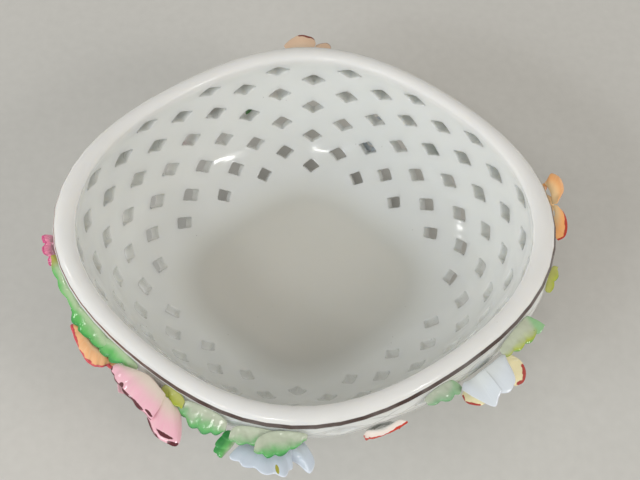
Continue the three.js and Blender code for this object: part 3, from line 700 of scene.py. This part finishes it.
paint_inputs, paint_outputs = ["Hem", "Wash", "Ragged"], ["Hem Mask", "Wash Mask", "Strokes"]
paint_group, p_in, p_out = new_group("petal paint", paint_inputs, paint_outputs)
flat = petal_map(paint_group)
along = add(paint_group, "ShaderNodeSeparateXYZ", {0: flat}).outputs[1]
here = object_place(paint_group)
stretched = add(paint_group, "ShaderNodeMapping", {"Vector": flat, "Scale": (22.0, 1.4, 1.0)}).outputs[0]
strokes = noise(paint_group, stretched, 1.0, 3.0)
fine = noise(paint_group, here, 420.0, 2.0)
broad = noise(paint_group, here, 130.0, 1.0)
blots = calc(paint_group, "MULTIPLY_ADD", fine, 0.35, calc(paint_group, "MULTIPLY_ADD", broad, 0.65, -0.5))
level = calc(paint_group, "MULTIPLY_ADD", blots, p_in.outputs["Ragged"], along)
hem_end = calc(paint_group, "ADD", p_in.outputs["Hem"], 0.05)
hem_mask = ramp(paint_group, level, p_in.outputs["Hem"], hem_end)
wash_end = calc(paint_group, "ADD", p_in.outputs["Wash"], 0.6)
wet = calc(paint_group, "MULTIPLY_ADD", strokes, 0.3, calc(paint_group, "ADD", along, -0.15))
wash_mask = ramp(paint_group, wet, p_in.outputs["Wash"], wash_end)
for title, value in zip(paint_outputs, (hem_mask, wash_mask, strokes)):
    paint_group.links.new(value, p_out.inputs[title])
print("petal paint:", paint_inputs, "to", paint_outputs)


def dabs(tree, places):
    """A mask of brush marks. Each has its place on the petal's UV map and its half width and height."""
    flat = petal_map(tree)
    here = object_place(tree)
    ragged = calc(tree, "MULTIPLY_ADD", noise(tree, here, 500.0, 2.0), 1.2, -0.6)
    mask = 0.0
    for u, v, wide, high in places:
        away = add(tree, "ShaderNodeVectorMath", {0: flat, 1: (u, v, 0)}, operation="SUBTRACT").outputs[0]
        values = {0: away, 1: (1 / wide, 1 / high, 0)}
        away = add(tree, "ShaderNodeVectorMath", values, operation="MULTIPLY").outputs[0]
        away = add(tree, "ShaderNodeVectorMath", {0: away}, operation="LENGTH").outputs["Value"]
        mask = calc(tree, "MAXIMUM", mask, ramp(tree, calc(tree, "ADD", away, ragged), 1.0, 0.8))
    return mask


def petal_glaze(name, foot, wash, hem, hem_from=0.93, wash_from=0.1, ragged=0.25, touches=(), drop=None):
    tree, shader, material = new_material(name, Coat_Weight=0.6, Coat_Roughness=0.05)
    values = {"Hem": hem_from, "Wash": wash_from, "Ragged": ragged}
    paint = add(tree, "ShaderNodeGroup", values, node_tree=paint_group)
    body = blend(tree, paint.outputs["Wash Mask"], colour(foot), colour(wash))
    streaked = calc(tree, "MULTIPLY", ramp(tree, paint.outputs["Strokes"], 0.4, 0.75), 0.25)
    body = blend(tree, streaked, body, colour(foot))
    body = blend(tree, paint.outputs["Hem Mask"], body, colour(hem))
    if touches:
        body = blend(tree, dabs(tree, touches), body, colour(hem))
    if drop:
        body = blend(tree, dabs(tree, [drop]), body, colour("#a3a03c"))
    ridge = calc(tree, "MULTIPLY", paint.outputs["Strokes"], 0.5)
    ridge = calc(tree, "MULTIPLY_ADD", paint.outputs["Hem Mask"], 0.4, ridge)
    finish_glaze(tree, shader, body, ridge, 0.22)
    return material


ROSE_TOUCHES = [
    (0.08, 0.94, 0.07, 0.13), (0.28, 1.0, 0.16, 0.06), (0.46, 0.94, 0.05, 0.1), (0.62, 0.99, 0.16, 0.08),
    (0.78, 0.95, 0.12, 0.07), (0.93, 0.9, 0.06, 0.05), (1.3, 0.87, 0.12, 0.05), (1.45, 0.98, 0.08, 0.06),
]
YELLOW_TOUCHES = [
    (0.55, 0.97, 0.3, 0.1), (0.8, 0.95, 0.15, 0.12), (1.15, 0.97, 0.1, 0.12), (1.5, 0.98, 0.3, 0.08),
]
rose_pink = petal_glaze("rose pink", "#eadccf", "#f0b8c9", "#5a1222", 0.96, 0.1, 0.3, ROSE_TOUCHES)
lavender = petal_glaze("lavender white", "#ccd5dd", "#c8d4e3", "#dbe4f2", 0.95, drop=(0.6, 0.87, 0.022, 0.14))
pale_blue = petal_glaze("pansy white", "#dde4e6", "#d6dfe8", "#e2e9f4", 0.95)
pansy_yellow = petal_glaze("pansy yellow", "#fffbe0", "#fff4c4", "#b3281b", 1.2, 0.1, 0.5, YELLOW_TOUCHES)
orange = petal_glaze("orange", "#ffe8c4", "#ffc188", "#d24552", 0.88, 0.0, 0.8)
pale_orange = petal_glaze("pale orange", "#ffdca8", "#ffb872", "#bd3826", 0.9, 0.1, 0.7)
peach = petal_glaze("peach", "#e2ccb4", "#e0bfa2", "#7e2a1c", 0.95, touches=[(0.33, 0.97, 0.22, 0.13)])
hot_pink = petal_glaze("hot pink", "#ffd6e2", "#f88fb4", "#d4528a", 0.86, -0.2)
plain_white = petal_glaze("white with red", "#eeeeea", "#f0e4dc", "#c43c2a", 0.86, 0.1, 0.9)
soft_pink = petal_glaze("soft pink", "#efdfe0", "#eab3c2", "#b23a55", 0.9)

# %% [markdown]
# ## Flowers
#
# Each flower is a pad with five or so petals. The ones in the photograph are seen from behind and above,
# with their upper petals leaning out over the wall. The hems of the upper petals are mostly listed from
# left to right as seen from outside. The flowers' places are those of the measured model, so the petals
# lie close to their solids, and the scalloped and ruffled hems are new.

# %% Flowers
pads = {}  # each flower's place, its pad's radius and how far the pad is raised, in millimetres


def whorl(name, place, hub, hems, material, under=0.0):
    """One ring of petals on its pad, standing for the model's piece of that name."""
    flower = name.replace("_upper", "").replace("_lower", "").replace("_petals", "")
    pads[flower] = (place, hub, under)
    base = perch(*place, STAND_OFF) @ Matrix.Translation((0, 0, under * MM))
    bm = bmesh.new()
    pad(bm, base, hub * MM)
    for number, (stations, style) in enumerate(hems):
        steps = (30, 12) if hub > 4 else (20, 9)
        thin_sheet(bm, petal_place(hub * MM, stations, **style), base, steps, number)
    return make_object(name + "_glazed", bm, [name], material)


PANSY_PLACE = (11.55, 1.8)
PANSY_UPPER_HUB, PANSY_LOWER_HUB = 5.84, 3.84
PANSY_RAISE = HUB_RISE * PANSY_UPPER_HUB + GAP / MM  # its lower petals sit on the upper ones' pad
whorl("front_left_rose_petals", (19.2, 1.7), 7.2, [
    own_hem((151, 12.3, 1.9), (140, 10.6, 3.7), (116, 8.5, 5.2), (75, 8.1, 6.4), (42, 11.1, 7.1),
            lobes=4.4, nick=0.07, ruffle=0.5, sink=1.7),
    own_hem((45, 9.2, 7.4), (25, 12.8, 9.5), (12, 17.0, 8.4), (9, 13.9, 3.0), (15, 10.2, 0.5),
            lobes=2.6, nick=0.05, ruffle=0.3),
    *round_hems(7.2, 6, 20, 203, -35, 264, lobes=3),
], rose_pink)
whorl("front_white_flower_petals", (16.3, 2.9), 5.6, [
    own_hem((145, 14.7, 4.2), (132, 14.2, 5.2), (116, 13.1, 6.0), (94, 12.2, 7.0), (73, 11.8, 7.2),
            (61, 10.5, 5.7), (58, 8.5, 3.1), lobes=5, nick=0.13, ruffle=0.3, phase=0.15),
    own_hem((62, 7.9, 3.6), (47, 9.8, 4.7), (39, 12.5, 6.3), (29, 11.8, 3.4), (31, 8.9, 0.8)),
    *round_hems(5.6, 6, 30, 190, -42, 254, lobes=3),
], lavender)
whorl("right_front_pansy_upper_petals", PANSY_PLACE, PANSY_UPPER_HUB, [
    own_hem((153, 12.2, 0.4), (149, 11.2, 4.2), (140, 8.9, 9.1), (125, 7.8, 8.0), (110, 7.4, 7.0)),
    own_hem((124, 7.5, 7.1), (99, 6.8, 8.6), (76, 7.4, 7.8), (63, 7.7, 4.7), (49, 6.9, 1.0),
            lobes=2.3, nick=0.05),
], pale_blue)
whorl("right_front_pansy_lower_petals", PANSY_PLACE, PANSY_LOWER_HUB, [
    own_hem((12, 9.0, -0.6), (14, 9.8, 2.0), (1, 10.0, 4.9), (-20, 9.9, 7.0), (-38, 9.6, 6.6)),
    own_hem((184, 9.2, -0.6), (178, 10.0, 1.6), (166, 10.0, 3.3), (156, 9.5, 4.6), (148, 8.2, 4.8)),
    *round_hems(PANSY_LOWER_HUB, 6.5, 40, -90, lobes=3),
], pansy_yellow, under=PANSY_RAISE)
whorl("right_orange_flower_petals", (7.1, 1.8), 4.8, [
    own_hem((119, 5.3, 0.6), (65, 5.5, 4.9), (42, 8.7, 4.5), (37, 9.7, 1.8), (45, 7.1, 0.0)),
    own_hem((175, 13.0, -1.0), (170, 12.1, 1.4), (156, 8.8, 2.8), (135, 6.1, 2.1), (122, 5.1, 0.2)),
    *round_hems(4.8, 5, 35, -10, 225, -75, lobes=3),
], pale_orange)
whorl("left_orange_flower_petals", (20.8, 2.1), 4.8, [
    own_hem((141, 10.6, 0.9), (116, 9.0, 2.0), (82, 8.7, 3.2), (54, 10.2, 3.8), (39, 10.9, 2.6),
            (30, 10.5, 0.9), lobes=6.4, nick=0.08, ruffle=0.5),
    own_hem((31, 8.7, 1.3), (21, 9.4, 1.6), (15, 11.3, 0.7), (8, 12.0, 0.2), lobes=2, nick=0.05),
    *round_hems(4.8, 4, 40, 180, -45, 250, lobes=4),
], orange)
whorl("left_rosette_petals", (23.3, 1.7), 2.2,
      round_hems(2.2, 3.4, 60, 0, 60, 120, 180, 240, 300, lobes=5, nick=0.16, ruffle=0.9),
      hot_pink)
whorl("front_small_flower_petals", (14.1, 2.3), 2.72, [
    own_hem((147, 7.2, 0), (143, 5.1, 1.4), (95, 3.3, 1.8), (51, 5.1, 1.1), (34, 8.0, 0), lobes=5.5),
    *round_hems(2.72, 3, 50, 0, 180, -60, 240, lobes=3),
], plain_white)
whorl("rear_peach_flower_petals", (31.75, 2.2), 4.6, [
    own_hem((115, 8.5, 2.2), (108, 9.3, 3.8), (96, 9.8, 4.3), (81, 9.9, 4.7), (69, 9.8, 4.9),
            (55, 9.5, 4.1), (43, 9.5, 4.0), lobes=3, nick=0.04),
    own_hem((146, 10.2, 2.0), (141, 10.6, 3.0), (134, 10.3, 3.4), (126, 9.4, 2.4), (117, 8.0, 2.2)),
    *round_hems(4.6, 6, 40, 0, 190, -80),
], peach)
whorl("rear_white_flower_petals", (2, 5.6), 3.6, round_hems(3.6, 5, 50, 90, 18, 162, -54, 234, lobes=3),
      lavender)
whorl("rear_left_pink_flower_petals", (28.6, 3.2), 3.6,
      round_hems(3.6, 5, 50, 90, 18, 162, -54, 234, lobes=3), soft_pink)

# %% [markdown]
# ## Flower centres
#
# A centre is a pellet of clay pricked all over with a pin and dabbed with yellow. The pellet starts as an
# icosphere. Every face of it is inset and pushed in a little, which gives the pricks.

# %% Centres
tree, shader, stamen = new_material("stamen yellow", Coat_Weight=0.4, Coat_Roughness=0.08)
here = object_place(tree)
pollen = ramp(tree, noise(tree, here, 700.0, 3.0), 0.42, 0.6)
finish_glaze(tree, shader, blend(tree, pollen, colour("#e3c65a"), colour("#b7862c")), None, 0.3)
PELLET = 0.2  # its radius as a share of the pad's
PRICK_RIM, PRICK_DEPTH = 0.06, 0.05  # shares of the pellet's radius
for name, (place, hub, under) in pads.items():
    bm = bmesh.new()
    radius = PELLET * hub * MM
    rise = under * MM + HUB_RISE * hub * MM + GAP + radius
    base = perch(*place, STAND_OFF) @ Matrix.Translation((0, 0, rise))
    bmesh.ops.create_icosphere(bm, subdivisions=2, radius=0.98 * radius, matrix=base)
    rim, depth = PRICK_RIM * radius, -PRICK_DEPTH * radius
    bmesh.ops.inset_individual(bm, faces=bm.faces[:], thickness=rim, depth=depth)
    finish = hot_pink if name == "left_rosette" else stamen
    make_object(name + "_pellet", bm, [name + "_centre"], finish)
print(len(pads), "pellets pricked")

# %% [markdown]
# ## Leaves
#
# The leaves are strips cut with a knife, notched along the outer edge and laid round the rim, each over
# the end of the next. The green was brushed on along the notched edge only and ran a little in the firing,
# so the rest of a leaf shows the white body through a thin clear green. A leaf is a grid between two edge
# curves. Their stations hold a column and a row of the lattice and how far the place stands off the wall.
# The upper edge is tucked in under the lip and the lower one is waved by its teeth.


# %% Leaf shape and paint
LEAF_THICK = 1.0 * MM
LEAF_BULGE = 0.7 * MM
LEAF_TIP = 0.3  # the width left at the ends
LEAF_LEAST = LEAF_THICK + GAP
LEAF_RIDGE = 0.6 * MM
NOTCH = 0.12
HUG, TUCK = 0.75, 0.2  # how much of its rise the upper edge gives up, and how many rows it slips up


def leaf_glaze(name, edge, dark, middle, spread, tip=None, tip_from=0.55):
    tree, shader, material = new_material(name, Coat_Weight=0.8, Coat_Roughness=0.05)
    flat = petal_map(tree)
    parts = add(tree, "ShaderNodeSeparateXYZ", {0: flat})
    here = object_place(tree)
    run = calc(tree, "MULTIPLY_ADD", noise(tree, here, 260.0, 3.0), 0.5, -0.25)
    down = calc(tree, "ADD", parts.outputs[0], run)
    green = ramp(tree, down, spread - 0.35, spread + 0.1)
    deep = ramp(tree, down, spread + 0.05, spread + 0.35)
    body = blend(tree, green, colour(middle), colour(edge))
    body = blend(tree, deep, body, colour(dark))
    if tip:
        body = blend(tree, ramp(tree, parts.outputs[1], tip_from, tip_from + 0.2), body, colour(tip))
    pooled = calc(tree, "MULTIPLY", noise(tree, here, 330.0, 1.0), 3.0)
    finish_glaze(tree, shader, body, pooled, 0.8)
    return material


green_glaze = leaf_glaze("leaf green", "#58b05e", "#2c8c46", "#b9c3ae", 0.53)
deep_glaze = leaf_glaze("deep leaf green", "#5cb75a", "#2f9443", "#a9c49a", 0.4)
lime_glaze = leaf_glaze("lime green", "#a9b62c", "#86a838", "#b4b862", 0.45)
long_glaze = leaf_glaze("lime and green", "#abb83c", "#6fa850", "#bcc4ae", 0.55, "#8dbb88")
olive_glaze = leaf_glaze("green with olive tip", "#5cb75a", "#2f9443", "#a9c49a", 0.4, "#a8a447", 0.72)
faint_glaze = leaf_glaze("faint green", "#84b288", "#62a06c", "#b0bba8", 0.5, "#8cb088")


def leaf(name, upper, lower, material=green_glaze, teeth=4):
    """Edges are listed as columns, rows and stand-offs in millimetres, from the stalk to the tip."""
    top, bottom = [smooth([Vector((c, r, s * MM)) for c, r, s in edge]) for edge in (upper, lower)]

    def place(across, along, side):
        wave = abs(math.sin(math.pi * (teeth * along + 0.2)))
        swell = LEAF_TIP + (1 - LEAF_TIP) * math.sqrt(max(0.0, math.sin(math.pi * along)))
        share = 0.5 + (across * (1 - NOTCH * (1 - wave) * across**3) - 0.5) * swell
        at = top(along).lerp(bottom(along), share)
        bulge = LEAF_BULGE * swell * math.sin(math.pi * across)
        ridge = LEAF_RIDGE * across**2 * (wave - 0.7)
        thin = LEAF_THICK * (1 - 0.35 * abs(2 * across - 1) ** 3)
        hug = max(0.0, 1 - 2 * share) if top(along).y < 1 else 0.0
        rise = max(LEAF_LEAST + RELIEF * (at.y > 1), at.z) * (1 - HUG * hug)
        stand = rise + bulge * (0.6 + 0.6 * wave) + ridge
        return wall_point(at.x, at.y - TUCK * hug, True, stand - side * thin)

    bm = bmesh.new()
    thin_sheet(bm, place, Matrix.Identity(4), (14, 40))
    return make_object(name + "_glazed", bm, [name], material)


print("a leaf is", round(LEAF_THICK / MM, 1), "mm thick and stands off the wall by that and a gap")

# %% [markdown]
# The last three leaves are behind the rear wall, where the photograph shows them only through piercings.

# %% Leaves
leaf("front_left_leaf", [(18.43, 0.18, 1.5), (18.01, 0.18, 1.7), (17.59, 0.18, 1.9), (17.3, 0.18, 1.9)],
     [(18.38, 1.31, 2.8), (17.99, 1.31, 5.1), (17.61, 1.31, 5.1), (17.3, 1.31, 3.5)])
leaf("front_hanging_leaf", [(16.98, 1.75, 1.5), (17.16, 2.1, 6.2), (17.26, 2.6, 9.7)],
     [(17.45, 1.75, 1.5), (17.47, 2.1, 7.7), (17.31, 2.6, 10.0)], deep_glaze)
leaf("front_middle_leaf", [(17.2, 0.54, 3.5), (16.98, 0.54, 3.3), (16.56, 0.54, 2.0), (16.16, 0.54, 1.5)],
     [(17.2, 1.17, 4.8), (16.96, 1.17, 4.9), (16.54, 1.17, 3.7), (16.14, 1.17, 1.7)])
leaf("front_right_leaf", [(16.67, 0.36, 6.2), (16.39, 0.36, 4.5), (16.01, 0.36, 2.6), (15.65, 0.36, 1.8)],
     [(16.67, 0.87, 6.5), (16.39, 0.87, 7.4), (16.05, 0.87, 5.6), (15.71, 0.87, 1.8)])
leaf("front_narrow_leaf", [(18.91, 0.11, 1.3), (18.68, 0.11, 0.7), (18.29, 0.11, 1.9)],
     [(18.81, 0.54, 1.8), (18.55, 0.54, 2.4), (18.26, 0.54, 3.4)], lime_glaze, 2)
leaf("left_low_leaf", [(19.55, 0.05, 0), (20.0, 0.05, 0), (20.34, 0.05, 0), (20.7, 0.11, 0.5)],
     [(19.6, 0.5, 0.6), (20.02, 0.8, 2.6), (20.3, 0.8, 3.6), (20.66, 0.7, 3.0)], deep_glaze, teeth=3)
leaf("left_middle_leaf", [(20.45, 0.05, 1.0), (20.9, 0.05, 0.5), (21.27, 0.05, 0), (21.62, 0.05, 0)],
     [(20.45, 0.6, 3.4), (20.9, 0.66, 3.9), (21.25, 0.7, 3.8), (21.6, 0.75, 3.2)], deep_glaze, teeth=3)
leaf("left_top_leaf", [(21.4, 0.05, 0.6), (21.95, 0.05, 0), (22.48, 0.05, 0), (22.9, 0.05, 0)],
     [(21.4, 0.6, 1.8), (21.93, 0.55, 1.6), (22.38, 0.5, 0.9), (22.95, 0.4, 0)], olive_glaze, teeth=3)
leaf("right_front_leaf", [(13.16, 0.18, 1.7), (12.74, 0.22, 1.2), (12.44, 0.34, 1.4), (12.34, 0.4, 2.2)],
     [(13.13, 0.71, 2.4), (12.8, 0.71, 3.5), (12.5, 0.71, 3.7), (12.3, 0.71, 3.0)], faint_glaze, teeth=3)
leaf("right_long_leaf", [(11.17, 0.18, 2.2), (10.64, 0.18, 2.1), (10.21, 0.18, 2.7), (10.14, 0.18, 4.9)],
     [(11.24, 0.71, 3.4), (10.9, 0.71, 4.3), (10.51, 0.71, 5.0), (10.2, 0.71, 5.3)],
     long_glaze)
leaf("right_small_leaf", [(9.4, 0.7, 0), (9.06, 0.6, 0), (8.78, 0.7, 0)],
     [(9.4, 1.0, 0), (9.03, 1.1, 0), (8.72, 1.0, 0)], lime_glaze, 2)
leaf("rear_right_leaf", [(3.5, 4.2, 2.0), (3.95, 4.0, 3.0), (4.4, 4.2, 3.5)],
     [(3.5, 5.2, 2.0), (3.95, 5.4, 3.0), (4.4, 5.2, 3.5)])
leaf("rear_middle_leaf", [(1, 4.0, 2.0), (0.55, 3.6, 3.0), (0.1, 3.6, 3.5)],
     [(1, 5.0, 2.0), (0.55, 5.0, 3.0), (0.1, 4.4, 3.5)])
leaf("rear_left_leaf", [(30, 4.0, 2.0), (30.45, 3.6, 3.0), (30.9, 3.6, 3.5)],
     [(30, 5.0, 2.0), (30.45, 5.0, 3.0), (30.9, 4.4, 3.5)])

# %% [markdown]
# ## Floor and light
#
# The box stands on a plain pale sheet, made as a flat grid with a faint paper grain. The world's soft
# light fills the shadows.

# %% Floor
bm = bmesh.new()
bmesh.ops.create_grid(bm, x_segments=8, y_segments=8, size=1.5)
floor_mesh = bpy.data.meshes.new("floor")
bm.to_mesh(floor_mesh)
bm.free()
floor = new_object("floor", floor_mesh)
tree, shader, paper = new_material("pale paper", Roughness=0.9)
here = object_place(tree)
fibre = noise(tree, here, 300.0, 3.0)
tree.links.new(blend(tree, fibre, colour("#c9c9c6"), colour("#d2d2cf")), shader.inputs["Base Color"])
floor_mesh.materials.append(paper)
print("floor reaches", round(max(v.co.x for v in floor_mesh.vertices), 1), "m from the middle")

# %% [markdown]
# A window at the front left does most of the work. Warm cards at the right and left fill the other side,
# and a weak softbox hangs above. The glaze would mirror such large lamps as big white patches, so
# `visible_glossy` hides them from reflections. Four small lamps bring back the sharp highlights of a glaze.

# %% Lamps
AIM = Vector((0, 0, 0.03))


def lamp(name, spot, size, power, tint):
    data = bpy.data.lights.new(name, "AREA")
    data.shape = "RECTANGLE"
    data.size, data.size_y = size
    data.energy = power
    data.color = tint
    light = new_object(name, data)
    light.location = spot
    light.rotation_euler = (AIM - Vector(spot)).to_track_quat("-Z", "Y").to_euler()
    return light


window = lamp("front window", (-0.9, -0.8, 0.6), (0.9, 0.6), 7.6, (0.95, 0.98, 1.0))
card = lamp("right card", (0.9, -0.5, 0.5), (0.6, 0.5), 4.6, (1.0, 0.94, 0.88))
top = lamp("top softbox", (0.1, 0.15, 1.0), (0.8, 0.8), 0.8, (1.0, 0.94, 0.85))
sill = lamp("left card", (-1.0, -0.1, 0.2), (0.5, 0.3), 2.0, (1.0, 0.9, 0.8))
for light in (window, card, top, sill):
    light.visible_glossy = False
lamp("window glint", (-0.7, -0.85, 0.75), (0.2, 0.1), 0.9, (0.97, 0.99, 1.0))
lamp("right glint", (0.7, -0.5, 0.7), (0.08, 0.14), 0.6, (1.0, 0.99, 0.97))
lamp("left glint", (-0.9, 0.15, 0.6), (0.1, 0.1), 0.5, (1.0, 0.99, 0.97))
lamp("front glint", (-0.18, -0.72, 0.98), (0.24, 0.1), 0.9, (1.0, 0.99, 0.97))
world = bpy.data.worlds.new("room")
bpy.context.scene.world = world
world.use_nodes = True
room = world.node_tree.nodes["Background"]
room.inputs["Color"].default_value = colour("#f3efe7")
room.inputs["Strength"].default_value = 0.4
bpy.context.scene.view_settings.view_transform = "Standard"
